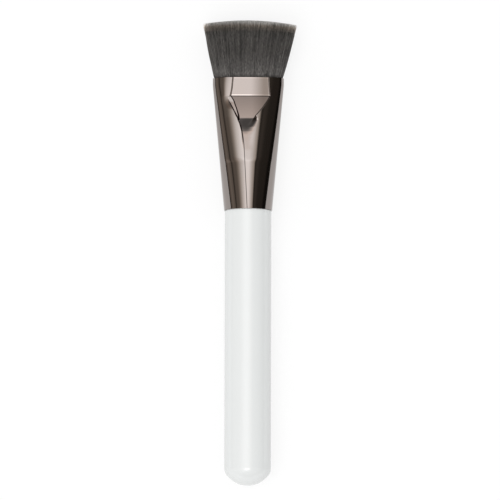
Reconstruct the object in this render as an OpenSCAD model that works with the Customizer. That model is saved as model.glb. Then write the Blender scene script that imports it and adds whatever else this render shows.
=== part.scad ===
// Flat-topped contour brush, lying as it comes to rest on a level surface.
// The brush's axis runs along Y: butt towards -Y, bristle tips towards +Y.
// X is the width of the head and Z its thickness, with the pressed panel facing up.
// The origin is on the surface, under the axis, halfway along the brush.

/* [Handle] */
// Length of the lacquered handle, from its butt to the ferrule
handle_len = 97.8; // [60:0.1:130]
// Diameter of the handle
handle_d = 16.6; // [15:0.1:17]
// Radius of the shallow crown that closes the butt
butt_crown_r = 9.4; // [9:0.1:14]
// Radius of the knuckle between the crown and the handle's side
butt_knuckle_r = 4.2; // [2:0.1:6]
// Radius that eases the handle's shoulder under the ferrule
shoulder_round = 0.15; // [0.05:0.01:0.18]
// Length of the tapered tenon inside the ferrule
tenon_len = 18; // [8:0.5:20]

/* [Ferrule] */
// Length of the ferrule, from the handle to its mouth
ferrule_len = 47.5; // [44:0.1:56]
// How far the ferrule's rim stands out from the handle
rim_step = 0.27; // [0.25:0.01:0.4]
// Thickness of the ferrule's wall
ferrule_wall = 0.4; // [0.3:0.05:0.6]
// Width of the ferrule at its mouth
mouth_w = 25.4; // [22:0.1:30]
// Thickness of the ferrule at its mouth, outside the pressed panel
mouth_t = 9.3; // [9:0.1:12]
// Length of the lip of even width at the mouth
lip_len = 2.5; // [1:0.1:5]
// Height above the rim at which the ferrule starts to flatten
flatten_start = 17; // [10:0.5:20]
// Thickness of the ferrule where it starts to flatten
flatten_t = 14.9; // [13:0.1:15.6]
// How quickly the flattening sets in, where 1 is an even taper
flatten_rate = 1.5; // [1:0.1:2]

/* [Pressed panel] */
// Length of the pressed panel below the mouth
panel_len = 6.8; // [5:0.1:10]
// Width of the panel at the mouth
panel_top_w = 12.1; // [9:0.1:14]
// Width of the panel at its crease
panel_crease_w = 12.8; // [9:0.1:14]
// Thickness of the ferrule from panel to panel
panel_t = 7.8; // [7:0.1:8.4]
// Sideways offset of the panel from the ferrule's axis
panel_shift = 0.7; // [-1:0.1:1]
// Width of the step at each side of the panel
panel_side_w = 0.6; // [0.3:0.1:1]
// Height of the small ledge at the panel's crease
ledge_h = 0.1; // [0.05:0.05:0.3]
// Length of the ledge along the brush
ledge_len = 0.35; // [0.2:0.05:0.6]

/* [Pressed facet] */
// Length of the tapering facet below the crease
facet_len = 8.2; // [6:0.1:9]
// Width of the facet at its foot
facet_foot_w = 5.4; // [3:0.1:7]
// Thickness of the ferrule between the feet of the two facets
facet_foot_t = 9.9; // [9.2:0.1:10.4]
// Sideways offset of the facet's foot from the axis
facet_foot_shift = -0.2; // [-1:0.1:1]
// Width of the sloping side of the facet, just below the crease
facet_side_w = 1.9; // [1:0.1:2.4]
// Length of the runout from the facet's foot to the plain skin
runout_len = 4.7; // [3:0.1:6]
// Width of the runout's tip
runout_tip_w = 2.4; // [1:0.1:4]
// Sideways offset of the runout's tip from the axis
runout_tip_shift = -0.8; // [-1.5:0.1:1]

/* [Bristles] */
// Length of the bristles beyond the ferrule, at the crown
bristle_len = 20.4; // [14:0.1:30]
// Length of the bristle roots inside the ferrule
root_len = 20.5; // [12:0.5:24]
// Width of the head across its tips
head_w = 34.5; // [28:0.1:42]
// Thickness of the head across its tips
head_t = 17; // [12:0.1:20]
// How square the head's section is at the tips, where 1 is an ellipse
head_squareness = 0.72; // [0.5:0.01:1]
// Fall of the tips from the crown to the two sides
crown_side_fall = 1.6; // [0:0.1:3]
// Fall of the tips from the crown to the front and back
crown_face_fall = 1.4; // [0:0.1:2.5]
// Sideways slope of the tips in degrees
crown_slope = 0.8; // [-3:0.1:3]
// Sideways lean of the bristles in degrees
head_lean = 1.5; // [-3:0.1:3]
// How far the bristles swell over the ferrule's mouth
mouth_swell = 0.27; // [0:0.01:0.4]
// Height of the swell above the mouth
mouth_swell_h = 0.8; // [0.4:0.1:2]
// Depth of the furrows between clumps of fibres at the tips
furrow_depth = 0.22; // [0:0.01:0.4]
// Height of the tufted unevenness of the tips
tip_unevenness = 0.25; // [0:0.01:0.5]

/* [Fits] */
// Clearance between the ferrule's inside and what it holds
fit_gap = 0.05; // [0.03:0.01:0.1]

/* [Hidden] */

// Steps around a side of the ferrule's section, and across its pressed zone
side_steps = 12;
zone_steps = 12;
// Steps of the bristles' furrows between two neighbouring points of the ferrule's section
furrow_split = 4;
// Rings between the edge and the middle of the bristles' top
crown_rings = 7;
// Least height between two rings of a loft
ring_gap = 0.2;

// The brush lies on the ferrule's rim, or on its head where that is thicker
handle_r = handle_d / 2;
rim_r = handle_r + rim_step;
axis_z = max(rim_r, head_t / 2);
total_len = handle_len + ferrule_len + bristle_len;
butt_y = -total_len / 2;
rim_y = butt_y + handle_len;

// Heights along the ferrule, from its rim
mouth_s = ferrule_len;
lip_s = mouth_s - lip_len;
crease_s = mouth_s - panel_len;
ledge_s = crease_s - ledge_len;
foot_s = crease_s - facet_len;
tip_s = foot_s - runout_len;
root_s = mouth_s - root_len;
bore_inset = ferrule_wall + fit_gap;

// The section's pressed zone narrows below the facet, where it only spaces the points
rim_zone_w = 0.7 * rim_r;
plain_side_w = 0.6;
// Share of an inset by which the corners of the pressed zone move inwards
corner_share = 0.41;

function mix(a, b, t) = a + (b - a) * t;
function ramp(v, low, high) = min(1, max(0, (v - low) / (high - low)));
function sgn_pow(v, e) = sign(v) * pow(abs(v), e);

// Half width and half thickness of the ferrule's oval skin at height s
function half_w(s) = mix(rim_r, mouth_w / 2, ramp(s, 0, lip_s));
function half_t(s) = s < flatten_start
    ? mix(rim_r, flatten_t / 2, s / flatten_start)
    : mix(mouth_t, flatten_t, pow(1 - ramp(s, flatten_start, mouth_s), flatten_rate)) / 2;

// Height of the oval skin above the axis at x, moved inwards by inset
function skin(x, s, inset) =
    (half_t(s) - inset) * sqrt(max(0, 1 - pow(x / (half_w(s) - inset), 2)));

// Height of the pressed floor above the axis, and the middle, half width and side of its zone
function pressed(s) = s <= tip_s ? rim_r : lookup(s, [
    [tip_s, half_t(tip_s)],
    [foot_s, facet_foot_t / 2],
    [ledge_s, panel_t / 2 + ledge_h],
    [crease_s, panel_t / 2]
]);
function zone_mid(s) = lookup(s, [
    [0, 0],
    [tip_s, runout_tip_shift],
    [foot_s, facet_foot_shift],
    [crease_s, panel_shift]
]);
function zone_half(s) = lookup(s, [
    [0, rim_zone_w / 2],
    [tip_s, runout_tip_w / 2],
    [foot_s, facet_foot_w / 2],
    [crease_s, panel_crease_w / 2],
    [mouth_s, panel_top_w / 2]
]);
function zone_side(s) = lookup(s, [
    [tip_s, plain_side_w],
    [foot_s, plain_side_w],
    [ledge_s, facet_side_w],
    [crease_s, panel_side_w]
]);

// Points [x, height] over the upper half of a section, from the right side to the left
function arc_point(angle, s, inset) =
    [(half_w(s) - inset) * cos(angle), (half_t(s) - inset) * sin(angle)];
function floor_point(x, s, inset) = [x, min(skin(x, s, inset), pressed(s) - inset)];
function upper_half(s, inset) =
    let (
        a = half_w(s) - inset,
        reach = zone_half(s) - corner_share * inset,
        right = zone_mid(s) + reach,
        left = zone_mid(s) - reach,
        right_end = acos((right + zone_side(s)) / a),
        left_end = acos((left - zone_side(s)) / a)
    )
    [
        for (i = [0 : side_steps]) arc_point(mix(0, right_end, i / side_steps), s, inset),
        for (i = [0 : zone_steps]) floor_point(mix(right, left, i / zone_steps), s, inset),
        for (i = [0 : side_steps]) arc_point(mix(left_end, 180, i / side_steps), s, inset)
    ];

// A whole section: the upper half and its mirror image, with the two side points shared
function section(s, inset) =
    let (upper = upper_half(s, inset), last = len(upper) - 1)
    [each upper, for (i = [last - 1 : -1 : 1]) [upper[i].x, -upper[i].y]];

// Places a section's points at height s above the rim
function placed(points, s) = [for (p = points) [p.x, rim_y + s, axis_z + p.y]];

// Heights of the ferrule's sections: every bend of the skin has one
ferrule_heights = [
    for (i = [0 : 3]) mix(0, flatten_start, i / 4),
    for (i = [0 : 3]) mix(flatten_start, tip_s, i / 4),
    for (i = [0 : 2]) mix(tip_s, foot_s, i / 3),
    for (i = [0 : 3]) mix(foot_s, ledge_s, i / 4),
    ledge_s,
    crease_s,
    mix(crease_s, lip_s, 0.5),
    lip_s,
    mouth_s
];

// Faces between rings of count points, with first as the number of the first point
function wall_faces(rings, count, first = 0) = [
    for (r = [0 : rings - 2], i = [0 : count - 1])
        let (
            a = first + r * count + i,
            b = first + r * count + (i + 1) % count
        )
        each [[a, b + count, a + count], [a, b, b + count]]
];
function flipped(faces) = [for (f = faces) [f[2], f[1], f[0]]];
function band_faces(outer, inner, count) = [
    for (i = [0 : count - 1])
        let (j = (i + 1) % count)
        each [[outer + i, inner + i, inner + j], [outer + i, inner + j, outer + j]]
];
function fan_faces(ring, centre, count) =
    [for (i = [0 : count - 1]) [ring + i, centre, ring + (i + 1) % count]];

function middle(ring) = [for (p = ring) 1] * ring / len(ring);

// Closed solid through the given rings, with a fan at each end
module lofted(rings) {
    count = len(rings[0]);
    last = len(rings) - 1;
    flat = [for (ring = rings) each ring];
    start_mid = len(flat);
    end_mid = start_mid + 1;
    polyhedron(
        points = [each flat, middle(rings[0]), middle(rings[last])],
        faces = [
            each wall_faces(len(rings), count),
            each fan_faces(0, start_mid, count),
            each flipped(fan_faces(last * count, end_mid, count))
        ]
    );
}

// Outline of the handle's right half, butt at the origin
module handle_profile() {
    knuckle_x = handle_r - butt_knuckle_r;
    knuckle_y = butt_crown_r - sqrt(pow(butt_crown_r - butt_knuckle_r, 2) - pow(knuckle_x, 2));
    crown_end = atan2(butt_crown_r - knuckle_y, knuckle_x);
    tenon_base_r = rim_r - bore_inset;
    tenon_end_r = half_t(tenon_len) - bore_inset;
    eased = min(shoulder_round, handle_r - tenon_base_r);
    arc_steps = 10;
    polygon([
        for (i = [0 : arc_steps])
            let (angle = mix(-90, -crown_end, i / arc_steps))
            [butt_crown_r * cos(angle), butt_crown_r * (1 + sin(angle))],
        for (i = [1 : arc_steps])
            let (angle = mix(-crown_end, 0, i / arc_steps))
            [knuckle_x + butt_knuckle_r * cos(angle), knuckle_y + butt_knuckle_r * sin(angle)],
        [handle_r, handle_len - eased],
        [handle_r - eased, handle_len],
        [tenon_base_r, handle_len],
        [tenon_end_r, handle_len + tenon_len],
        [0, handle_len + tenon_len]
    ]);
}

module handle() {
    color("white")
        translate([0, butt_y, axis_z])
        rotate([-90, 0, 0])
        rotate_extrude($fn = 96)
        handle_profile();
}

module ferrule() {
    count = len(section(0, 0));
    rings = len(ferrule_heights);
    outer = [for (s = ferrule_heights) each placed(section(s, 0), s)];
    inner = [for (s = ferrule_heights) each placed(section(s, ferrule_wall), s)];
    inner_start = rings * count;
    color("dimgray")
        polyhedron(
            points = [each outer, each inner],
            faces = [
                each wall_faces(rings, count),
                each flipped(wall_faces(rings, count, inner_start)),
                each band_faces(0, inner_start, count),
                each flipped(band_faces((rings - 1) * count, inner_start + (rings - 1) * count, count))
            ]
        );
}

module glue_plug() {
    heights = [for (i = [0 : 3]) mix(tenon_len, root_s, i / 3)];
    color("khaki")
        lofted([for (s = heights) placed(section(s, bore_inset), s)]);
}

// Splits each side of a section into shorter ones, for the furrows of the bristles
function split(points) =
    let (count = len(points))
    [
        for (i = [0 : count - 1], k = [0 : furrow_split - 1])
            mix(points[i], points[(i + 1) % count], k / furrow_split)
    ];

// Faces that join a ring of count points to the split ring above it
function stitch_faces(coarse, fine, count) =
    let (half = floor(furrow_split / 2))
    [
        for (i = [0 : count - 1])
            let (
                a = coarse + i,
                b = coarse + (i + 1) % count,
                up = [for (k = [0 : furrow_split]) fine + (i * furrow_split + k) % (count * furrow_split)]
            )
            each [
                for (k = [0 : half - 1]) [a, up[k + 1], up[k]],
                [a, b, up[half]],
                for (k = [half : furrow_split - 1]) [b, up[k + 1], up[k]]
            ]
    ];

// Even but irregular value between -1 and 1 for point i of ring r
function uneven(i, r) = sin(i * 137.5 + r * 71) * cos(i * 59 + r * 203);

// Point of the head at the tips, in the direction of angle, at share k of the way out
function tip_point(angle, k) = [
    k * head_w / 2 * sgn_pow(cos(angle), head_squareness),
    k * head_t / 2 * sgn_pow(sin(angle), head_squareness)
];
// Height of the tips above the mouth
function tip_height(p) = bristle_len
    - crown_side_fall * pow(2 * p.x / head_w, 2)
    - crown_face_fall * pow(2 * p.y / head_t, 2)
    - p.x * tan(crown_slope);

// Ring of the exposed bristles: each point leans sideways with its height above the mouth
function leaning(points, heights) = [
    for (i = [0 : len(points) - 1])
        [
            points[i].x + heights[i] * tan(head_lean),
            rim_y + mouth_s + heights[i],
            axis_z + points[i].y
        ]
];

module bristle_head() {
    root_heights = [root_s, for (s = ferrule_heights) if (s > root_s + ring_gap) s];
    root_rings = [for (s = root_heights) placed(section(s, bore_inset), s)];
    count = len(root_rings[0]);

    mouth_points = split(section(mouth_s, bore_inset));
    fine_count = len(mouth_points);
    angles = [for (p = mouth_points) atan2(p.y / mouth_t, p.x / mouth_w)];
    furrow = [for (i = [0 : fine_count - 1])
        1 - (i % 2) * (1 + uneven(i, 0) / 2) * furrow_depth / (head_t / 2)];
    edge = [for (i = [0 : fine_count - 1]) tip_point(angles[i], furrow[i])];
    flare = mouth_swell_h / bristle_len;
    swell = [for (i = [0 : fine_count - 1])
        mix(mouth_points[i], edge[i], flare) + mouth_swell * [cos(angles[i]), sin(angles[i])]];
    crown_shares = [for (r = [0 : crown_rings]) 1 - r / (crown_rings + 1)];
    open_rings = [
        leaning(swell, [for (p = swell) mouth_swell_h]),
        for (r = [0 : crown_rings])
            let (points = crown_shares[r] * edge)
            leaning(points, [for (i = [0 : fine_count - 1])
                tip_height(points[i]) + tip_unevenness * (uneven(i, r) - 1) / 2])
    ];

    open_start = len(root_rings) * count;
    crown_start = open_start + (len(open_rings) - 1) * fine_count;
    root_mid = crown_start + fine_count;
    crown_mid = root_mid + 1;
    color("slategray")
        polyhedron(
            points = [
                for (ring = root_rings) each ring,
                for (ring = open_rings) each ring,
                middle(root_rings[0]),
                middle(open_rings[len(open_rings) - 1])
            ],
            faces = [
                each fan_faces(0, root_mid, count),
                each wall_faces(len(root_rings), count),
                each stitch_faces(open_start - count, open_start, count),
                each wall_faces(len(open_rings), fine_count, open_start),
                each flipped(fan_faces(crown_start, crown_mid, fine_count))
            ]
        );
}

handle();
ferrule();
glue_plug();
bristle_head();
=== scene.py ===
"""Looks of a flat-topped contour brush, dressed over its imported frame.

The brush lies along Y, butt towards -Y and bristle tips towards +Y. X is the width of the
head, and its pressed panel faces up. Sizes here are millimetres and angles are degrees,
and each mesh is brought to metres when its piece is finished.
"""
import logging
import math
from dataclasses import dataclass, field
from enum import Enum

import bmesh
import bpy
import numpy as np
from mathutils import Matrix, Vector


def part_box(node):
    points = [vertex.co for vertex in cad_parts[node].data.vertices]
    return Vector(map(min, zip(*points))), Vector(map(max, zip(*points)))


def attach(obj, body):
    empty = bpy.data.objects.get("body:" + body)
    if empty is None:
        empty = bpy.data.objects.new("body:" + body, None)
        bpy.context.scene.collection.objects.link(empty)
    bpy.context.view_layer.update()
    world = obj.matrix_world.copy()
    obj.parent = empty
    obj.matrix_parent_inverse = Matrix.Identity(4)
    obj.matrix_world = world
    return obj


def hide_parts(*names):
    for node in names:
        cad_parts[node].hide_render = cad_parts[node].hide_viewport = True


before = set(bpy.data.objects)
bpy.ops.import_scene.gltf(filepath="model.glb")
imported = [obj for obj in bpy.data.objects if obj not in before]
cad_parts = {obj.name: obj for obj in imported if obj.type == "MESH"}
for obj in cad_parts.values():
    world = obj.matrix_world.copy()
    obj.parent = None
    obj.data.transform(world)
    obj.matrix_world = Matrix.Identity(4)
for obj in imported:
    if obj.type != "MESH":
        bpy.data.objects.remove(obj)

logging.basicConfig(level=logging.INFO, format="%(name)s: %(message)s")
log = logging.getLogger("contour_brush")

MM = 0.001
# The strands' two attributes
ALONG = "along"
TONE = "tone"
# Points nearer to each other than this are merged
MERGE_MM = 1e-3
# What a noise texture mostly stays between
NOISE_SPAN = (0.3, 0.7)

Colour = tuple[float, float, float]
Counts = tuple[int, int, int]
Places = tuple[np.ndarray, np.ndarray]
Socket = bpy.types.NodeSocket
Span = tuple[float, float]
Stop = tuple[float, Colour]


class Node(Enum):
    """The CAD nodes of the brush."""

    HANDLE = "handle"
    FERRULE = "ferrule"
    GLUE_PLUG = "glue_plug"
    BRISTLE_HEAD = "bristle_head"


class Slot(Enum):
    """The record's material slots."""

    LACQUERED_WOOD = "lacquered_wood"
    PLATED_METAL = "plated_metal"
    EPOXY = "epoxy"
    BRISTLES = "bristles"


class Body(Enum):
    """The CAD bodies. A brush with no joints has one."""

    ROOT = "root"


class Tuft(Enum):
    """The two kinds of strand: long ones that show at the sides, short ones at the top."""

    SIDE = "side"
    CROWN = "crown"


class ShaderSheet:
    """Adds, fills and links the nodes of one material or world."""

    def __init__(self, tree: bpy.types.NodeTree) -> None:
        """Starts from an empty tree.

        Args:
            tree: The node tree to fill.
        """
        self.tree = tree
        self.tree.nodes.clear()

    def node(self, kind: str, **settings: object) -> bpy.types.Node:
        """Adds a node and sets its properties.

        Args:
            kind: The node's Blender type, such as ShaderNodeMath.
            **settings: Properties of the node.

        Returns:
            The new node.
        """
        made = self.tree.nodes.new(kind)
        for name, value in settings.items():
            setattr(made, name, value)
        return made

    def join(self, source: Socket, target: Socket) -> None:
        """Links an output to an input."""
        self.tree.links.new(source, target)

    def feed(self, target: Socket, value: object) -> None:
        """Links a socket to an input, or sets the input to a plain value.

        Args:
            target: The input.
            value: The socket or the plain value.
        """
        if isinstance(value, Socket):
            self.join(value, target)
        else:
            target.default_value = value

    def maths(self, operation: str, *values: object) -> Socket:
        """Adds a Math node.

        Args:
            operation: The node's operation, such as MULTIPLY.
            *values: Its inputs, each a socket or a number.

        Returns:
            The result's socket.
        """
        made = self.node("ShaderNodeMath", operation=operation)
        for target, value in zip(made.inputs, values):
            self.feed(target, value)
        return made.outputs[0]

    def position(self, stretch: Colour = (1, 1, 1)) -> Socket:
        """Object coordinates, stretched per axis.

        Args:
            stretch: Factor along X, Y and Z.

        Returns:
            The vector's socket.
        """
        place = self.node("ShaderNodeTexCoord")
        mapping = self.node("ShaderNodeMapping")
        mapping.inputs["Scale"].default_value = stretch
        self.join(place.outputs["Object"], mapping.inputs["Vector"])
        return mapping.outputs["Vector"]

    def noise(self, vector: Socket, scale: float, detail: float = 3.0) -> Socket:
        """Adds a noise texture.

        Args:
            vector: Where it is read.
            scale: Waves per metre of the vector.
            detail: Number of finer layers.

        Returns:
            The factor's socket, about 0.5 on average.
        """
        made = self.node("ShaderNodeTexNoise")
        made.inputs["Scale"].default_value = scale
        made.inputs["Detail"].default_value = detail
        self.join(vector, made.inputs["Vector"])
        return made.outputs["Fac"]

    def remap(self, value: object, old: Span, new: Span) -> Socket:
        """Maps one range of a value to another, held at its ends.

        Args:
            value: The socket to map.
            old: Its low and high ends.
            new: What they become.

        Returns:
            The result's socket.
        """
        made = self.node("ShaderNodeMapRange")
        for target, number in zip(made.inputs, (value, *old, *new)):
            self.feed(target, number)
        return made.outputs["Result"]

    def blend(self, factor: object, first: object, second: object, mode: str = "MIX") -> Socket:
        """Mixes two colours.

        Args:
            factor: Socket or number, 0 for the first and 1 for the second.
            first: Socket or colour.
            second: Socket or colour.
            mode: The node's blend type.

        Returns:
            The colour's socket.
        """
        made = self.node("ShaderNodeMix", data_type="RGBA", blend_type=mode)
        for target, value in ((0, factor), (6, first), (7, second)):
            self.feed(made.inputs[target], (*value, 1) if isinstance(value, tuple) else value)
        return made.outputs[2]

    def ramp(self, value: Socket, stops: list[Stop]) -> Socket:
        """Adds a colour ramp.

        Args:
            value: What is looked up, from 0 to 1.
            stops: Places and colours in rising order.

        Returns:
            The colour's socket.
        """
        made = self.node("ShaderNodeValToRGB")
        elements = made.color_ramp.elements
        elements.remove(elements[1])
        elements[0].position, elements[0].color = stops[0][0], (*stops[0][1], 1)
        for place, colour in stops[1:]:
            elements.new(place).color = (*colour, 1)
        self.join(value, made.inputs["Fac"])
        return made.outputs["Color"]

    def bump(self, height: Socket, depth_mm: float) -> Socket:
        """Turns a height of 0 to 1 into a bumped normal.

        Args:
            height: The height's socket.
            depth_mm: Real height of 1.

        Returns:
            The normal's socket.
        """
        made = self.node("ShaderNodeBump")
        made.inputs["Distance"].default_value = depth_mm * MM
        self.join(height, made.inputs["Height"])
        return made.outputs["Normal"]

    def principled(self, **sockets: object) -> bpy.types.Node:
        """Adds the surface shader and its output.

        Args:
            **sockets: Inputs by name, with underscores for spaces, each a socket or a value.

        Returns:
            The Principled node.
        """
        shader = self.node("ShaderNodeBsdfPrincipled")
        output = self.node("ShaderNodeOutputMaterial")
        self.join(shader.outputs["BSDF"], output.inputs["Surface"])
        for name, value in sockets.items():
            value = (*value, 1) if isinstance(value, tuple) else value
            self.feed(shader.inputs[name.replace("_", " ")], value)
        return shader


def new_material(name: str) -> tuple[bpy.types.Material, ShaderSheet]:
    """Makes an empty node material.

    Args:
        name: The material's name.

    Returns:
        The material and the sheet of its nodes.
    """
    made = bpy.data.materials.new(name)
    made.use_nodes = True
    return made, ShaderSheet(made.node_tree)


@dataclass(frozen=True)
class WhiteLacquer:
    """Sprayed white lacquer: a clear gloss over an even white, with a faint peel."""

    bright: Colour = (0.80, 0.815, 0.81)
    shade: Colour = (0.785, 0.80, 0.795)
    base_roughness: Span = (0.45, 0.52)
    base_gloss: float = 0.0
    coat: float = 1.0
    coat_roughness: float = 0.05
    peel_scale: float = 900.0
    peel_mm: float = 0.0008
    cloud_scale: float = 60.0

    def make(self) -> bpy.types.Material:
        """Builds the lacquer.

        Returns:
            The material.
        """
        made, sheet = new_material("white_lacquer")
        clouds = sheet.noise(sheet.position(), self.cloud_scale)
        peel = sheet.noise(sheet.position(), self.peel_scale, 2)
        sheet.principled(
            Base_Color=sheet.blend(clouds, self.bright, self.shade),
            Roughness=sheet.remap(clouds, NOISE_SPAN, self.base_roughness),
            Specular_IOR_Level=self.base_gloss,
            Normal=sheet.bump(peel, self.peel_mm),
            Coat_Weight=self.coat,
            Coat_Roughness=self.coat_roughness,
            Coat_Normal=sheet.bump(peel, self.peel_mm / 2),
        )
        return made


@dataclass(frozen=True)
class GrainedFinish:
    """A finish whose two colours, roughness and fine relief follow one noise, stretched along the brush."""

    name: str
    first: Colour
    second: Colour
    roughness: Span
    scale: float
    relief_mm: float
    stretch: float = 1.0
    detail: float = 3.0

    def make(self) -> bpy.types.Material:
        """Builds the finish.

        Returns:
            The material.
        """
        made, sheet = new_material(self.name)
        grain = sheet.noise(sheet.position((1, self.stretch, 1)), self.scale, self.detail)
        sheet.principled(
            Base_Color=sheet.blend(grain, self.first, self.second),
            Roughness=sheet.remap(grain, NOISE_SPAN, self.roughness),
            Normal=sheet.bump(grain, self.relief_mm),
        )
        return made


@dataclass(frozen=True)
class BareHardwood(GrainedFinish):
    """Unfinished pale hardwood of the tenon, with its grain along the handle."""

    name: str = "bare_hardwood"
    first: Colour = (0.62, 0.45, 0.27)
    second: Colour = (0.40, 0.25, 0.13)
    roughness: Span = (0.6, 0.8)
    scale: float = 1400.0
    relief_mm: float = 0.02
    stretch: float = 0.05


@dataclass(frozen=True)
class CuredEpoxy(GrainedFinish):
    """Amber casting epoxy with fine bubbles."""

    name: str = "cured_epoxy"
    first: Colour = (0.62, 0.42, 0.16)
    second: Colour = (0.48, 0.30, 0.10)
    roughness: Span = (0.15, 0.3)
    scale: float = 1500.0
    relief_mm: float = 0.05


@dataclass(frozen=True)
class ShadedPackedFibres(GrainedFinish):
    """The inside of the tuft, where the fibres lie too close to be told apart, in colours below the
    filament's own: their dark grey with painted shade of the deep gaps between them.
    """

    name: str = "shaded_packed_fibres"
    # Painted shade: darker than the filament, for the shade deep inside the tuft
    first: Colour = (0.016, 0.015, 0.014)
    second: Colour = (0.042, 0.039, 0.036)
    roughness: Span = (0.6, 0.85)
    scale: float = 4000.0
    relief_mm: float = 0.08
    stretch: float = 0.04
    detail: float = 2.0


@dataclass(frozen=True)
class DarkPlating:
    """Polished dark nickel plating with the faint lines left by drawing the tube, and a painted dark line of
    shade along the pressed line on its front.
    """

    axis_z: float
    press_line_end_y: float
    cool: Colour = (0.285, 0.262, 0.252)
    warm: Colour = (0.300, 0.262, 0.244)
    # Painted shade: the dark colour of the pressed line stands in for the dark reflection of its small
    # pressed step
    press_line_shade: Colour = (0.05, 0.044, 0.042)
    press_line_x: float = 0.405
    press_line_lean: float = -0.0505
    press_line_w: float = 0.24
    press_line_bend_y: float = 37.85
    press_line_top_lean: float = -0.14
    press_line_top_w: float = 0.4
    press_line_fade: float = 2.0
    press_line_rim: Span = (0.35, 0.65)
    roughness: Span = (0.035, 0.075)
    line_scale: float = 2200.0
    line_stretch: float = 0.02
    line_mm: float = 0.00012
    cloud_scale: float = 90.0

    def press_line_shade_mask(self, sheet: ShaderSheet) -> Socket:
        """Finds the painted line of shade along the pressed line, which runs up the front from the rim and
        bends to the left beside the dent.

        Args:
            sheet: The plating's nodes.

        Returns:
            A socket that is 1 on the painted line of shade and 0 beside it.
        """
        axes = sheet.node("ShaderNodeSeparateXYZ")
        sheet.join(sheet.position(), axes.inputs[0])
        up = axes.outputs["Y"]
        top_x = self.press_line_x + (self.press_line_lean - self.press_line_top_lean) * self.press_line_bend_y
        lower = sheet.maths("MULTIPLY_ADD", up, self.press_line_lean, self.press_line_x * MM)
        upper = sheet.maths("MULTIPLY_ADD", up, self.press_line_top_lean, top_x * MM)
        middle = sheet.maths("MINIMUM", lower, upper)
        away = sheet.maths("ABSOLUTE", sheet.maths("SUBTRACT", axes.outputs["X"], middle))
        widening = (self.press_line_bend_y * MM, (self.press_line_bend_y + self.press_line_fade) * MM)
        width = sheet.remap(up, widening, (self.press_line_w * MM, self.press_line_top_w * MM))
        line = sheet.remap(sheet.maths("DIVIDE", away, width), self.press_line_rim, (1.0, 0.0))
        front = sheet.maths("GREATER_THAN", axes.outputs["Z"], self.axis_z * MM)
        ending = ((self.press_line_end_y - self.press_line_fade) * MM, self.press_line_end_y * MM)
        below = sheet.remap(up, ending, (1.0, 0.0))
        return sheet.maths("MULTIPLY", sheet.maths("MULTIPLY", line, front), below)

    def make(self) -> bpy.types.Material:
        """Builds the plating.

        Returns:
            The material.
        """
        made, sheet = new_material("dark_plating")
        lines = sheet.noise(sheet.position((1, self.line_stretch, 1)), self.line_scale, 2)
        clouds = sheet.noise(sheet.position(), self.cloud_scale)
        metal = sheet.blend(clouds, self.cool, self.warm)
        sheet.principled(
            # Painted shade: the pressed line is darkened in the base colour
            Base_Color=sheet.blend(self.press_line_shade_mask(sheet), metal, self.press_line_shade),
            Metallic=1.0,
            Roughness=sheet.remap(lines, NOISE_SPAN, self.roughness),
            Normal=sheet.bump(lines, self.line_mm),
        )
        return made


@dataclass(frozen=True)
class Filament:
    """Dark synthetic filament: grey along its length, browner and then pale at its tapered tip, with a
    painted shadow where it leaves the mouth.

    The strands carry two attributes: how far along each point is, and the strand's own tone.
    """

    # Painted shadow: the strands are darker in and just above the mouth, where the ferrule shades their roots
    mouth_shadow: Colour = (0.055, 0.051, 0.048)
    root: Colour = (0.120, 0.113, 0.108)
    belly: Colour = (0.080, 0.075, 0.070)
    brown: Colour = (0.130, 0.113, 0.098)
    # The pale and tip colours are partly the thin tapered fibre's own paler colour and partly painted light
    # scattered through the thin tip
    pale: Colour = (0.27, 0.235, 0.20)
    tip: Colour = (0.60, 0.58, 0.56)
    mouth_shadow_at: float = 0.07
    root_at: float = 0.12
    belly_at: Span = (0.5, 0.83)
    brown_at: float = 0.895
    pale_at: float = 0.945
    roughness: Span = (0.42, 0.6)
    specular: float = 0.35
    mottle_scale: float = 900.0
    fleck_scale: float = 3000.0
    fleck_stretch: float = 0.28
    fleck_tone: Span = (0.62, 1.38)

    def make(self) -> bpy.types.Material:
        """Builds the filament.

        Returns:
            The material.
        """
        made, sheet = new_material("dark_filament")
        along = sheet.node("ShaderNodeAttribute", attribute_name=ALONG).outputs["Fac"]
        tone = sheet.node("ShaderNodeAttribute", attribute_name=TONE).outputs["Fac"]
        shades = [
            (self.mouth_shadow_at, self.mouth_shadow), (self.root_at, self.root),
            (self.belly_at[0], self.belly), (self.belly_at[1], self.belly),
            (self.brown_at, self.brown), (self.pale_at, self.pale), (1.0, self.tip),
        ]
        grey = sheet.node("ShaderNodeCombineColor")
        flecks = sheet.noise(sheet.position((1, self.fleck_stretch, 1)), self.fleck_scale, 1)
        flecked = sheet.maths("MULTIPLY", tone, sheet.remap(flecks, NOISE_SPAN, self.fleck_tone))
        for target in grey.inputs:
            sheet.join(flecked, target)
        mottle = sheet.noise(sheet.position(), self.mottle_scale)
        sheet.principled(
            Base_Color=sheet.blend(1.0, sheet.ramp(along, shades), grey.outputs["Color"], "MULTIPLY"),
            Roughness=sheet.remap(mottle, NOISE_SPAN, self.roughness),
            Specular_IOR_Level=self.specular,
        )
        return made


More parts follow.
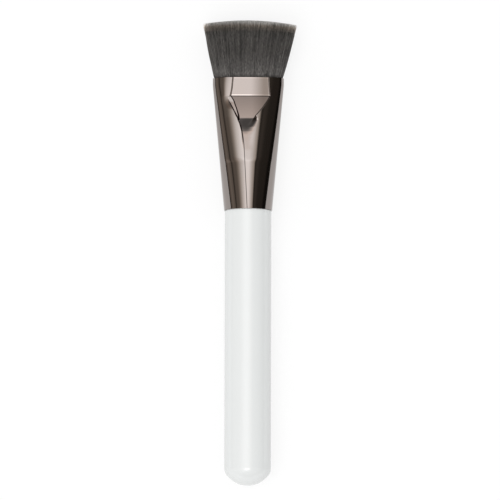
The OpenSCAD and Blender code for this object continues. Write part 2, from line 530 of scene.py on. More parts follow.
@dataclass(frozen=True)
class PaleFloor:
    """Plain pale floor, seen as white where no shadow falls."""

    colour: Colour = (0.70, 0.70, 0.70)
    roughness: float = 0.9
    veil: float = 0.72
    white: float = 1.12

    def make(self) -> bpy.types.Material:
        """Builds the floor's finish, a pale matt that the camera sees through a white veil.

        Returns:
            The material.
        """
        made, sheet = new_material("pale_floor")
        matt = sheet.node("ShaderNodeBsdfPrincipled")
        matt.inputs["Base Color"].default_value = (*self.colour, 1)
        matt.inputs["Roughness"].default_value = self.roughness
        matt.inputs["Specular IOR Level"].default_value = 0.0
        glow = sheet.node("ShaderNodeEmission")
        glow.inputs["Strength"].default_value = self.white
        path = sheet.node("ShaderNodeLightPath").outputs
        seen = sheet.maths("MAXIMUM", path["Is Camera Ray"], path["Is Glossy Ray"])
        seen = sheet.maths("MAXIMUM", seen, path["Is Transmission Ray"])
        both = sheet.node("ShaderNodeMixShader")
        sheet.join(sheet.maths("MULTIPLY", seen, self.veil), both.inputs[0])
        sheet.join(matt.outputs[0], both.inputs[1])
        sheet.join(glow.outputs[0], both.inputs[2])
        sheet.join(both.outputs[0], sheet.node("ShaderNodeOutputMaterial").inputs["Surface"])
        return made


def mesh_object(bm: bmesh.types.BMesh, name: str, crease_angle: float | None = None) -> bpy.types.Object:
    """Turns a bmesh in millimetres into an object at the origin, in metres.

    Args:
        bm: The finished bmesh, which is freed.
        name: The object's name.
        crease_angle: Edges sharper than this many degrees stay sharp, or None for none.

    Returns:
        The new object, linked to the scene.
    """
    bm.transform(Matrix.Scale(MM, 4))
    for face in bm.faces:
        face.smooth = True
    mesh = bpy.data.meshes.new(name)
    bm.to_mesh(mesh)
    bm.free()
    if crease_angle is not None:
        mesh.set_sharp_from_angle(angle=math.radians(crease_angle))
    made = bpy.data.objects.new(name, mesh)
    bpy.context.scene.collection.objects.link(made)
    return made


def dress(piece: bpy.types.Object, finishes: list[bpy.types.Material]) -> None:
    """Gives a piece its body and its materials, and logs it.

    Args:
        piece: The finished piece.
        finishes: Its materials, in the order of their numbers on its faces.
    """
    piece.data.materials.clear()
    for finish in finishes:
        piece.data.materials.append(finish)
    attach(piece, Body.ROOT.value)
    log.info("%s: %d faces, %s", piece.name, len(piece.data.polygons), finishes[0].name)


def box_mm(node: Node) -> tuple[Vector, Vector]:
    """Lowest and highest corner of a CAD node in millimetres."""
    low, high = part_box(node.value)
    return low / MM, high / MM


def unit_tube(segments: int, rings: int, capped: bool) -> bmesh.types.BMesh:
    """Makes a straight tube of radius 1 and length 1, standing on the origin.

    Args:
        segments: Points round each ring.
        rings: Evenly spaced rings of points.
        capped: Whether its two ends are closed.

    Returns:
        The tube.
    """
    bm = bmesh.new()
    bmesh.ops.create_cone(
        bm, cap_ends=capped, segments=segments, radius1=1, radius2=1, depth=1,
        matrix=Matrix.Translation((0, 0, 0.5)),
    )
    long_edges = [edge for edge in bm.edges if abs(edge.verts[0].co.z - edge.verts[1].co.z) > 0.5]
    bmesh.ops.subdivide_edges(bm, edges=long_edges, cuts=rings - 2, use_grid_fill=True)
    return bm


def coordinates(bm: bmesh.types.BMesh) -> np.ndarray:
    """The places of a bmesh's vertices, one row each."""
    return np.array([vertex.co for vertex in bm.verts])


def move_to(bm: bmesh.types.BMesh, places: np.ndarray) -> None:
    """Moves a bmesh's vertices to new places, one row each."""
    for vertex, place in zip(bm.verts, places):
        vertex.co = place


def smooth_step(value: np.ndarray) -> np.ndarray:
    """Rises from 0 to 1 while the value does, level at both ends."""
    held = np.clip(value, 0, 1)
    return held * held * (3 - 2 * held)


def superpower(value: np.ndarray, exponent: float) -> np.ndarray:
    """Power of the value's size with its sign kept."""
    return np.sign(value) * np.abs(value) ** exponent


@dataclass
class FerruleForm:
    """The pressed form of the ferrule's skin. Heights are measured from its rim to its mouth."""

    length: float
    rim_r: float
    mouth_w: float
    # The oval skin: its mouth, and the height from which it flattens
    mouth_t: float = 9.3
    lip_len: float = 2.5
    flatten_start: float = 17.0
    flatten_t: float = 14.9
    flatten_rate: float = 1.2
    bend: float = 0.4
    # The pressed panel, with the small ledge and groove at its crease and the flare at its lip
    panel_len: float = 6.63
    panel_t: float = 7.8
    ledge_h: float = 0.07
    ledge_len: float = 0.2
    groove_h: float = 0.07
    groove_len: float = 0.45
    lip_flare: float = 0.05
    lip_flare_len: float = 0.45
    # How the pressed floor falls away to the right of bow_x
    bow_x: float = 0.3
    bow_reach: float = 5.2
    panel_bow: float = 1 / 40
    facet_bow: float = 1 / 56
    # The facet's foot, the dent's round part below it, and where the painted shade of the pressed line ends
    round_until: float = 28.2
    press_line_end: float = 28.6
    facet_foot: float = 32.5
    facet_foot_t: float = 10.18
    facet_bulge: float = 0.016
    ease: float = 0.08
    foot_ease: float = 1.0
    # The flat that the skin is pressed to on the left, by a point on it and its slopes
    flank_x: float = -7.4
    flank_z: float = 3.9
    flank_s: float = 40.2
    flank_slope: float = 0.22
    flank_fall: float = 0.085
    flank_meet: float = 0.25
    flank_from: float = 35.5
    flank_over: float = 4.6
    # The same beside the panel, where it rises from the panel's edge
    panel_lift: float = 0.03
    panel_flank: float = 0.1
    panel_start: float = 0.1
    panel_over: float = 0.8
    # How the mesh's columns crowd towards the press
    side_crowding: float = 1.3
    floor_crowding: float = 0.11
    step_columns: float = 0.3
    widest_step: float = 2.5
    # Height above the rim and half thickness along the dent below the facet
    dent: tuple[Span, ...] = (
        (17.0, 7.45), (21.1, 6.995), (24.7, 6.57), (26.8, 6.31), (27.8, 6.16), (28.6, 6.005), (29.4, 5.83),
        (31.6, 5.295),
    )
    # Height above the rim, then the press's edges from left to right: outer, inner, inner and outer
    edges: tuple[tuple[float, float, float, float, float], ...] = (
        (0.0, -1.5, -1.0, 1.0, 2.5), (19.5, -1.55, -1.2, 0.4, 2.6), (21.4, -1.75, -1.4, 0.2, 2.5),
        (24.7, -2.3, -1.95, -0.3, 2.6), (27.8, -2.55, -2.05, -0.9, 2.9), (29.4, -2.95, -2.4, -0.9, 3.1),
        (30.2, -3.15, -2.6, -0.4, 3.3), (31.0, -3.4, -2.85, 0.2, 3.5), (32.0, -3.9, -3.05, 1.0, 3.7),
        (32.7, -4.1, -3.05, 1.9, 3.4), (33.5, -4.5, -3.15, 2.45, 2.8),
        (36.4, -5.8, -4.1, 4.85, 5.15), (37.8, -6.5, -4.62, 5.8, 6.1), (38.6, -7.0, -4.85, 6.35, 6.65),
        (39.3, -7.2, -5.2, 6.8, 7.1), (40.0, -7.4, -5.6, 7.2, 7.5), (40.5, -7.2, -6.0, 7.4, 7.7),
        (40.8, -6.65, -6.05, 7.5, 7.8), (43.5, -6.12, -5.55, 7.2, 7.5), (47.5, -5.77, -5.2, 7.0, 7.3),
    )
    # Height above the rim, then for the two small steps on the left their width, and the height above
    # the pressed floor and the slope of the strip between them
    left_side: tuple[tuple[float, float, float, float], ...] = (
        (31.5, 0.28, 0.25, 0.075), (32.5, 0.6, 0.28, 0.08), (33.5, 0.6, 0.28, 0.1), (36.4, 0.38, 0.26, 0.13),
        (38.0, 0.38, 0.23, 0.15), (39.2, 0.36, 0.22, 0.17), (40.6, 0.34, 0.16, 0.15), (40.8, 0.3, -0.22, 0.0),
    )
    # Height above the rim, then the section's squareness left and right, where 2 is an ellipse
    squareness: tuple[tuple[float, float, float], ...] = (
        (0.0, 2.0, 2.0), (16.5, 2.0, 2.0), (18.0, 2.2, 2.12), (33.0, 2.2, 2.12), (40.0, 2.0, 2.12),
    )

    @property
    def crease(self) -> float:
        """Height of the crease below the panel."""
        return self.length - self.panel_len

    @staticmethod
    def eased(heights: np.ndarray, reach: float, knots: list[float], values: list[float]) -> np.ndarray:
        """Straight lines between knots, with their bends rounded.

        Args:
            heights: Where to look.
            reach: How far each bend is rounded to both sides.
            knots: Heights of the bends.
            values: Values at the bends.

        Returns:
            The value at each height.
        """
        offsets = np.linspace(-reach, reach, 5)
        return np.mean([np.interp(heights + offset, knots, values) for offset in offsets], axis=0)

    def half_width(self, s: np.ndarray) -> np.ndarray:
        """Half width of the oval skin at height s."""
        return self.eased(s, self.bend, [0, self.length - self.lip_len], [self.rim_r, self.mouth_w / 2])

    def plain_half_thickness(self, s: np.ndarray) -> np.ndarray:
        """Half thickness before the bend where the flattening starts is rounded.

        Args:
            s: Height above the rim.

        Returns:
            Half the thickness at each height.
        """
        upper = np.clip((s - self.flatten_start) / (self.length - self.flatten_start), 0, 1)
        fall = (1 - upper) ** self.flatten_rate
        flattened = (self.mouth_t + (self.flatten_t - self.mouth_t) * fall) / 2
        round_part = self.rim_r + (self.flatten_t / 2 - self.rim_r) * s / self.flatten_start
        return np.where(s < self.flatten_start, round_part, flattened)

    def half_thickness(self, s: np.ndarray) -> np.ndarray:
        """Half thickness of the oval skin at height s."""
        offsets = np.linspace(-self.bend, self.bend, 5)
        return np.mean([self.plain_half_thickness(s + offset) for offset in offsets], axis=0)

    def skin(self, x: np.ndarray, s: np.ndarray, inset: float) -> np.ndarray:
        """Height of the oval skin above the axis.

        Args:
            x: Place across the brush.
            s: Height above the rim.
            inset: How far the skin is moved inwards.

        Returns:
            The height at each place.
        """
        heights, left, right = zip(*self.squareness)
        power = np.where(x < 0, np.interp(s, heights, left), np.interp(s, heights, right))
        share = np.clip(np.abs(x) / (self.half_width(s) - inset), 0, 1)
        return (self.half_thickness(s) - inset) * (1 - share**power) ** (1 / power)

    def edge(self, s: np.ndarray, place: int) -> np.ndarray:
        """One of the press's four edges at height s, counted from the left."""
        heights, *edges = zip(*self.edges)
        return self.eased(s, self.ease, heights, edges[place])

    def pressed_floor(self, x: np.ndarray, s: np.ndarray, plain: bool = False) -> np.ndarray:
        """Height of the pressed floor above the axis.

        Args:
            x: Place across the brush.
            s: Height above the rim.
            plain: Whether the crease's small groove is left out.

        Returns:
            The height at each place.
        """
        panel = self.panel_t / 2
        groove = [
            (self.crease - self.ledge_len, panel - self.groove_h + self.ledge_h),
            (self.crease, panel - self.groove_h),
            (self.crease + self.groove_len, panel),
        ]
        knots = [
            *self.dent,
            (self.facet_foot, self.facet_foot_t / 2),
            *([(self.crease, panel)] if plain else groove),
            (self.length - self.lip_flare_len, panel),
            (self.length, panel + self.lip_flare),
        ]
        level = self.eased(s, self.ease, *map(list, zip(*knots)))
        up = np.clip((s - self.facet_foot) / (self.crease - self.facet_foot), 0, 1)
        level = level + 4 * self.facet_bulge * up * (1 - up)
        follows = np.interp(s, [self.round_until, self.facet_foot], [1.0, 0.0])
        fall = follows * (self.half_thickness(s) - self.skin(x, s, 0))
        bends = [self.facet_foot - self.foot_ease, self.facet_foot, self.crease - self.ledge_len, self.crease]
        bowed = np.interp(s, bends, [0, self.facet_bow, self.facet_bow, self.panel_bow])
        beside = np.clip(x - self.bow_x, 0, None)
        near = np.minimum(beside, self.bow_reach)
        return np.where(s <= self.dent[0][0], self.rim_r, level - fall - bowed * near * (beside - near / 2))

    def left_shape(self, s: np.ndarray) -> list[np.ndarray]:
        """The left side's three values at height s."""
        heights, *values = zip(*self.left_side)
        return [np.interp(s, heights, value) for value in values]

    def flanked(self, x: np.ndarray, s: np.ndarray, inset: float) -> np.ndarray:
        """Skin beside the press, flattened on its left.

        Args:
            x: Place across the brush.
            s: Height above the rim.
            inset: How far the skin is moved inwards.

        Returns:
            The height at each place.
        """
        skin = self.skin(x, s, inset)
        low = self.flank_z - self.flank_fall * (s - self.flank_s) + self.flank_slope * (x - self.flank_x)
        beside = x - self.edge(np.maximum(s, self.crease + self.panel_start), 0)
        high = self.panel_t / 2 + self.panel_lift + self.panel_flank * beside
        plane = low + (high - low) * smooth_step(s - self.crease + self.panel_over) - inset
        share = np.where(x < self.bow_x, smooth_step((s - self.flank_from) / self.flank_over), 0)
        overlap = np.clip(self.flank_meet - np.abs(skin - plane), 0, None)
        clipped = np.minimum(skin, plane) - overlap**2 / (4 * self.flank_meet)
        return skin + (clipped - skin) * share

    def top(self, x: np.ndarray, s: np.ndarray, inset: float = 0.0) -> np.ndarray:
        """Height of the pressed skin above the axis.

        On the left the skin drops to the pressed floor in two small steps, one at the press's
        outer edge and one at its inner edge. On the right it does so in one.

        Args:
            x: Place across the brush.
            s: Height above the rim.
            inset: How far the skin is moved inwards.

        Returns:
            The height at each place.
        """
        left_out, left_in, right_in, right_out = (self.edge(s, place) for place in range(4))
        plain, skin = self.skin(x, s, inset), self.flanked(x, s, inset)
        floor = np.minimum(plain, self.pressed_floor(x, s) - inset)
        width, lift, slope = self.left_shape(s)
        width = np.minimum(width, left_in - left_out)
        flat = self.pressed_floor(left_in, s) + lift - slope * (left_in - x) - inset
        strip = (skin + floor) / 2
        up = np.clip((s - self.facet_foot + self.foot_ease) / self.foot_ease, 0, 1)
        strip = strip + (flat - strip) * up
        left = skin + (strip - skin) * smooth_step((x - left_out) / width)
        left = left + (floor - left) * smooth_step((x - left_in + width) / width)
        beside = np.where(x > right_in, skin, plain)
        right = beside + (floor - beside) * smooth_step((right_out - x) / (right_out - right_in))
        return np.where(x < left_in, left, right)

    def across(
        self, column: np.ndarray, s: np.ndarray, counts: Counts, inset: float = 0.0
    ) -> np.ndarray:
        """Place across the brush of each column of the upper half, from its right side to its left.

        Args:
            column: The column's number.
            s: Height above the rim.
            counts: Columns on an oval side, on a wall and on the pressed floor.
            inset: How far the skin is moved inwards.

        Returns:
            The place of each column.
        """
        arc, wall, floor = counts
        knots = np.cumsum([arc, wall, floor, wall, arc])
        width = self.half_width(s) - inset
        left_out, left_in, right_in, right_out = (self.edge(s, place) for place in range(4))
        near, span = self.step_columns, left_in - left_out
        step = np.minimum(self.left_shape(s)[0], span / self.widest_step)
        right_end, left_end = np.arccos(right_out / width), np.arccos(left_out / width)
        along = (column - knots[2]) / wall
        over = (column - knots[1]) / floor
        beyond = np.clip((column - knots[3]) / arc, 0, 1)
        pieces = [
            width * np.cos(right_end * (1 - np.clip(1 - column / arc, 0, 1) ** self.side_crowding)),
            right_out + (right_in - right_out) * (column - knots[0]) / wall,
            right_in + (left_in - right_in) * (over - self.floor_crowding * np.sin(math.tau * over)),
            left_in - np.where(along < near, along * step / near, np.where(
                along > 1 - near, span - (1 - along) * step / near,
                step + (span - 2 * step) * smooth_step((along - near) / (1 - 2 * near)),
            )),
            width * np.cos(left_end + (np.pi - left_end) * beyond**self.side_crowding),
        ]
        return np.select([column <= knot for knot in knots], pieces)

    def outline(self, s: float, counts: Counts, inset: float) -> Places:
        """Closed outline of the section at one height.

        Args:
            s: Height above the rim.
            counts: Columns on an oval side, on a wall and on the pressed floor.
            inset: How far the skin is moved inwards.

        Returns:
            X and height above the axis of each point, anticlockwise from the right side.
        """
        columns = np.arange(2 * counts[0] + 2 * counts[1] + counts[2] + 1)
        heights = np.full(len(columns), s)
        x = self.across(columns, heights, counts, inset)
        z = self.top(x, heights, inset)
        return np.concatenate([x, x[-2:0:-1]]), np.concatenate([z, -z[-2:0:-1]])


@dataclass
class Handle:
    """The turned wooden handle, lacquered outside the ferrule, with its bare tenon inside it."""

    axis_z: float
    butt_y: float
    rim_y: float
    tenon_y: float
    radius: float
    tenon_base_r: float = 8.12
    tenon_end_r: float = 6.97
    crown_r: float = 9.4
    knuckle_r: float = 4.2
    shoulder_len: float = 0.45
    arc_steps: int = 18
    shoulder_steps: int = 5
    side_steps: int = 40
    turns: int = 160
    sharp_angle: float = 50.0

    @classmethod
    def from_frame(cls) -> "Handle":
        """Takes the handle's places from the frame.

        Returns:
            The handle, ready to build.
        """
        low, high = box_mm(Node.HANDLE)
        rim_y = box_mm(Node.FERRULE)[0].y
        middle, radius = (low.z + high.z) / 2, (high.z - low.z) / 2
        return cls(axis_z=middle, butt_y=low.y, rim_y=rim_y, tenon_y=high.y, radius=radius)

    def outline(self, bm: bmesh.types.BMesh) -> None:
        """Draws half of the handle's outline, from the middle of its butt to the tenon's end.

        Args:
            bm: The bmesh to draw in, with X as the radius.
        """
        knuckle_x = self.radius - self.knuckle_r
        fall = math.sqrt((self.crown_r - self.knuckle_r) ** 2 - knuckle_x**2)
        crown_end = math.atan2(fall, knuckle_x)
        crown_centre = Vector((0, self.butt_y + self.crown_r, 0))
        knuckle_centre = crown_centre + Vector((knuckle_x, -fall, 0))
        end = bm.verts.new((0, self.butt_y, 0))
        end = self.arc(bm, end, crown_centre, math.pi / 2 - crown_end, self.arc_steps)
        end = self.arc(bm, end, knuckle_centre, crown_end, self.arc_steps)
        side = self.rim_y - self.shoulder_len - end.co.y
        for _ in range(self.side_steps):
            end = self.run(bm, end, 0, side / self.side_steps)
        drop = self.radius - self.tenon_base_r
        for step in range(self.shoulder_steps):
            low, high = (math.sin(math.pi / 2 * turn / self.shoulder_steps) for turn in (step, step + 1))
            back, on = (1 - math.cos(math.pi / 2 * turn / self.shoulder_steps) for turn in (step, step + 1))
            end = self.run(bm, end, -drop * (on - back), self.shoulder_len * (high - low))
        end = self.run(bm, end, self.tenon_end_r - self.tenon_base_r, self.tenon_y - self.rim_y)
        self.run(bm, end, -self.tenon_end_r, 0)

    @staticmethod
    def arc(
        bm: bmesh.types.BMesh, start: bmesh.types.BMVert, centre: Vector, angle: float, steps: int
    ) -> bmesh.types.BMVert:
        """Continues the outline along an arc.

        Args:
            bm: The bmesh that holds the outline.
            start: The outline's last point.
            centre: Centre of the arc.
            angle: Angle of the arc in radians, anticlockwise.
            steps: Number of edges.

        Returns:
            The new last point.
        """
        spun = bmesh.ops.spin(bm, geom=[start], cent=centre, axis=(0, 0, 1), angle=angle, steps=steps)
        return next(item for item in spun["geom_last"] if isinstance(item, bmesh.types.BMVert))

    @staticmethod
    def run(bm: bmesh.types.BMesh, start: bmesh.types.BMVert, dx: float, dy: float) -> bmesh.types.BMVert:
        """Continues the outline along a straight line.

        Args:
            bm: The bmesh that holds the outline.
            start: The outline's last point.
            dx: How far the line runs outwards.
            dy: How far it runs along the handle.

        Returns:
            The new last point.
        """
        made = bmesh.ops.extrude_vert_indiv(bm, verts=[start])["verts"]
        bmesh.ops.translate(bm, verts=made, vec=(dx, dy, 0))
        return made[0]

    def build(self) -> bpy.types.Object:
        """Turns the outline into the handle.

        Returns:
            The finished piece.
        """
        bm = bmesh.new()
        self.outline(bm)
        bmesh.ops.spin(
            bm, geom=bm.verts[:] + bm.edges[:], cent=(0, 0, 0), axis=(0, 1, 0),
            angle=math.tau, steps=self.turns, use_merge=True,
        )
        bmesh.ops.remove_doubles(bm, verts=bm.verts[:], dist=MERGE_MM)
        bmesh.ops.recalc_face_normals(bm, faces=bm.faces[:])
        bmesh.ops.translate(bm, verts=bm.verts[:], vec=(0, 0, self.axis_z))
        for face in bm.faces:
            face.material_index = int(face.calc_center_median().y > self.rim_y)
        made = mesh_object(bm, "turned_handle", crease_angle=self.sharp_angle)
        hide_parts(Node.HANDLE.value)
        dress(made, [WhiteLacquer().make(), BareHardwood().make()])
        return made


@dataclass
class Ferrule:
    """The drawn and pressed metal tube."""

    form: FerruleForm
    axis_z: float
    rim_y: float
    wall: float = 0.4
    rim_round: float = 0.09
    arc_columns: int = 26
    wall_columns: int = 16
    floor_columns: int = 28
    plain_rows: int = 20
    bend_rows: int = 6
    dent_rows: int = 20
    runout_rows: int = 24
    facet_rows: int = 30
    ledge_rows: int = 20
    panel_rows: int = 12
    lip_rows: int = 8
    runout_reach: float = 5.0
    foot_reach: float = 0.5
    rim_reach: float = 0.02

    @classmethod
    def from_frame(cls) -> "Ferrule":
        """Takes the ferrule's places from the frame.

        Returns:
            The ferrule, ready to build.
        """
        low, high = box_mm(Node.FERRULE)
        rim_r = (high.z - low.z) / 2
        form = FerruleForm(length=high.y - low.y, rim_r=rim_r, mouth_w=high.x - low.x)
        return cls(form=form, axis_z=(low.z + high.z) / 2, rim_y=low.y)

    @property
    def counts(self) -> Counts:
        """Columns on an oval side, on a wall and on the pressed floor."""
        return self.arc_columns, self.wall_columns, self.floor_columns

    def rows(self) -> np.ndarray:
        """Heights of the mesh's rows, closer together where the form bends.

        Returns:
            The heights above the rim, rising.
        """
        form = self.form
        bend = form.flatten_start
        runout, facet = form.facet_foot - self.runout_reach, form.facet_foot + self.foot_reach
        ledge = form.crease - form.ledge_len - 2 * form.ease
        panel = form.crease + form.groove_len + 2 * form.ease
        lip = form.length - form.lip_flare_len - 2 * form.ease
        stretches = [
            (0, bend - form.bend, self.plain_rows),
            (bend - form.bend, bend + form.bend, self.bend_rows),
            (bend + form.bend, runout, self.dent_rows),
            (runout, facet, self.runout_rows),
            (facet, ledge, self.facet_rows),
            (ledge, panel, self.ledge_rows),
            (panel, lip, self.panel_rows),
            (lip, form.length, self.lip_rows),
        ]
        rows = [np.linspace(low, high, count, endpoint=False) for low, high, count in stretches]
        return np.append(np.concatenate(rows), form.length)

    def tube(self) -> bmesh.types.BMesh:
        """Presses a plain tube into the ferrule's skin.

        Returns:
            The skin, without its wall.
        """
        rows = self.rows()
        half = 2 * self.arc_columns + 2 * self.wall_columns + self.floor_columns
        bm = unit_tube(2 * half, len(rows), capped=False)
        plain = coordinates(bm)
        turn = np.arctan2(plain[:, 1], plain[:, 0]) * half / np.pi
        lower = turn < -0.5
        column = np.round(np.abs(turn))
        s = rows[np.round(plain[:, 2] * (len(rows) - 1)).astype(int)]
        x = self.form.across(column, s, self.counts)
        z = self.form.top(x, s) * np.where(lower, -1, 1)
        move_to(bm, np.column_stack([x, self.rim_y + s, self.axis_z + z]))
        return bm

    def build(self) -> bpy.types.Object:
        """Makes the tube, gives it its wall and rounds its two rims.

        Returns:
            The finished piece.
        """
        bm = self.tube()
        bmesh.ops.recalc_face_normals(bm, faces=bm.faces[:])
        bmesh.ops.solidify(bm, geom=bm.faces[:], thickness=-self.wall)
        ends = (self.rim_y, self.rim_y + self.form.length)
        rims = [
            edge for edge in bm.edges
            if any(all(abs(vertex.co.y - end) < self.rim_reach for vertex in edge.verts) for end in ends)
            and edge.calc_face_angle(0) > 1
        ]
        bmesh.ops.bevel(
            bm, geom=rims, offset=self.rim_round, offset_type="OFFSET", segments=3, profile=0.5,
            affect="EDGES", material=-1, clamp_overlap=True,
        )
        made = mesh_object(bm, "pressed_ferrule")
        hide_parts(Node.FERRULE.value)
        # The plating paints a dark line of shade along the pressed line, up to its given end
        plating = DarkPlating(axis_z=self.axis_z, press_line_end_y=self.rim_y + self.form.press_line_end)
        dress(made, [plating.make()])
        return made


@dataclass
class StrandBatch:
    """One piece of the tuft: strands of one kind on one side of it."""

    name: str
    kind: Tuft
    sign: int
    count: int


@dataclass
class BristleHead:
    """The tuft: a packed inside with thousands of tapered strands over and on it."""

    form: FerruleForm
    axis_z: float
    mouth_y: float
    # The head, as its solid has it
    bristle_len: float = 20.4
    head_w: float = 34.5
    head_t: float = 17.0
    squareness: float = 0.72
    side_fall: float = 1.6
    face_fall: float = 1.4
    crown_slope: float = 0.8
    lean: float = 1.5
    # Roots in the mouth, and the swell above it
    root_inset: float = 0.55
    root_gap: float = 0.05
    root_depth: float = 1.2
    root_spread: float = 0.3
    swell: float = 0.12
    swell_h: float = 0.8
    # One strand: its thickness and its small bends
    strand_d: float = 0.15
    tip_d: float = 0.06
    taper_from: float = 0.72
    bow: float = 0.10
    ripple: float = 0.05
    # Where the tips end
    side_layers: float = 0.10
    side_crowding: float = 1.3
    side_trim: float = 0.75
    tip_rise: float = 0.35
    tip_scatter: float = 0.16
    tip_spread: float = 0.14
    # Clumps of tips
    clump_w: float = 0.6
    clump_pull: float = 0.35
    clump_tone: float = 0.11
    clump_margin: int = 4
    # Tones: of each strand, along it, and paler at the head's two ends
    strand_tone: float = 0.28
    stretch_tone: float = 0.16
    stretch_halves: int = 3
    tone_limits: Span = (0.3, 2.0)
    edge_tone: float = 1.5
    edge_from: float = 0.78
    edge_len: float = 0.18
    edge_power: int = 4
    edge_fade: float = 0.35
    fade_from: float = 0.93
    fade_len: float = 0.07
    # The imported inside, which lies below the tips
    core_inset: float = 1.2
    core_drop: float = 2.6
    core_root_share: float = 0.8
    # How many strands there are, and how finely each is made
    side_count: int = 4300
    crown_count: int = 7000
    side_rings: tuple[float, ...] = (0.0, 0.06, 0.12, 0.30, 0.48, 0.66, 0.83, 1.0)
    crown_rings: tuple[float, ...] = (0.0, 0.6, 1.0)
    crown_len: float = 5.0
    seed: int = 12
    outline_counts: Counts = (40, 8, 40)
    edge_points: int = 2001
    batches: list[StrandBatch] = field(default_factory=list)

    @classmethod
    def from_frame(cls, ferrule: Ferrule) -> "BristleHead":
        """Takes the tuft's places from the ferrule that holds it.

        Args:
            ferrule: The ferrule.

        Returns:
            The tuft, ready to build.
        """
        made = cls(form=ferrule.form, axis_z=ferrule.axis_z, mouth_y=ferrule.rim_y + ferrule.form.length)
        made.batches = [
            StrandBatch("side_bristles_front", Tuft.SIDE, 1, made.side_count),
            StrandBatch("side_bristles_back", Tuft.SIDE, -1, made.side_count),
            StrandBatch("crown_bristles_front", Tuft.CROWN, 1, made.crown_count),
            StrandBatch("crown_bristles_back", Tuft.CROWN, -1, made.crown_count),
        ]
        return made

    def core(self) -> bpy.types.Object:
        """Makes the tuft's inside from a merged copy of its solid, drawn in beyond the mouth.

        Returns:
            The finished piece.
        """
        bm = bmesh.new()
        bm.from_mesh(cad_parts[Node.BRISTLE_HEAD.value].data)
        bm.transform(Matrix.Scale(1 / MM, 4))
        bmesh.ops.remove_doubles(bm, verts=bm.verts[:], dist=MERGE_MM)
        places = coordinates(bm)
        height = places[:, 1] - self.mouth_y
        beyond = smooth_step(height / self.swell_h)
        share = np.clip(height / self.bristle_len, 0, 1)
        across = self.mix(self.form.mouth_w, self.head_w, share) / 2
        through = self.mix(self.form.mouth_t, self.head_t, share) / 2
        squeeze = self.core_root_share + (1 - self.core_root_share) * beyond
        places[:, 0] *= 1 - beyond * self.core_inset / across
        places[:, 2] -= (places[:, 2] - self.axis_z) * (1 - squeeze + beyond * self.core_inset / 2 / through)
        places[:, 1] -= self.core_drop * share * beyond
        move_to(bm, places)
        made = mesh_object(bm, "bristle_core")
        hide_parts(Node.BRISTLE_HEAD.value)
        # The inside is dressed in dark fibres with painted shade of the tuft's deep gaps
        dress(made, [ShadedPackedFibres().make()])
        return made

    @staticmethod
    def mix(low: object, high: object, share: object) -> object:
        """Value at a share of the way from low to high."""
        return low + (high - low) * share

    def tip_height(self, x: np.ndarray, z: np.ndarray) -> np.ndarray:
        """Height of the tips above the mouth.

        Args:
            x: Place across the head.
            z: Height above the axis.

        Returns:
            The height at each place.
        """
        return (
            self.bristle_len + self.tip_rise
            - self.side_fall * (2 * x / self.head_w) ** 2
            - self.face_fall * (2 * z / self.head_t) ** 2
            - x * math.tan(math.radians(self.crown_slope))
        )

    def tips(self, batch: StrandBatch, rng: np.random.Generator) -> Places:
        """Scatters strand tips over the batch's share of the head.

        Args:
            batch: The strands to place.
            rng: Source of the scatter.

        Returns:
            Direction round the head in radians, and share of the way out.
        """
        scatter = rng.random(batch.count)
        if batch.kind is Tuft.SIDE:
            share = 1 - self.side_layers * scatter**self.side_crowding
        else:
            share = np.sqrt(scatter) * (1 - self.side_layers / 2)
        return self.even_angles(rng.random(batch.count)) * batch.sign, share

    def even_angles(self, shares: np.ndarray) -> np.ndarray:
        """Spreads directions evenly along the head's edge.

        Args:
            shares: Shares of the way along half the edge, from its right end.

        Returns:
            The direction of each, in radians.
        """
        table = np.linspace(0, np.pi, self.edge_points)
        x, z = self.edge(table)
        run = np.concatenate([[0], np.cumsum(np.hypot(np.diff(x), np.diff(z)))])
        return np.interp(shares, run / run[-1], table)

    def edge(self, angle: np.ndarray) -> Places:
        """X and height above the axis of the head's edge at the tips.

        Args:
            angle: Direction round the head in radians.

        Returns:
            The edge's place in each direction.
        """
        return (
            self.head_w / 2 * superpower(np.cos(angle), self.squareness),
            self.head_t / 2 * superpower(np.sin(angle), self.squareness),
        )

    def mouth_edge(self, angle: np.ndarray, aside: np.ndarray) -> Places:
        """X and height above the axis of the roots' outer edge in the mouth.

        Args:
            angle: Direction of each strand's tip.
            aside: How far its root lies beside the place below its tip.

        Returns:
            The place of each root.
        """
        x, z = self.form.outline(self.form.length, self.outline_counts, self.root_inset)
        half = (len(x) + 2) // 2
        widest = x[0] - self.root_gap
        root_x = np.clip(widest * superpower(np.cos(angle), self.squareness) + aside, -widest, widest)
        return root_x, np.sign(angle) * np.interp(root_x, x[half - 1::-1], z[half - 1::-1])

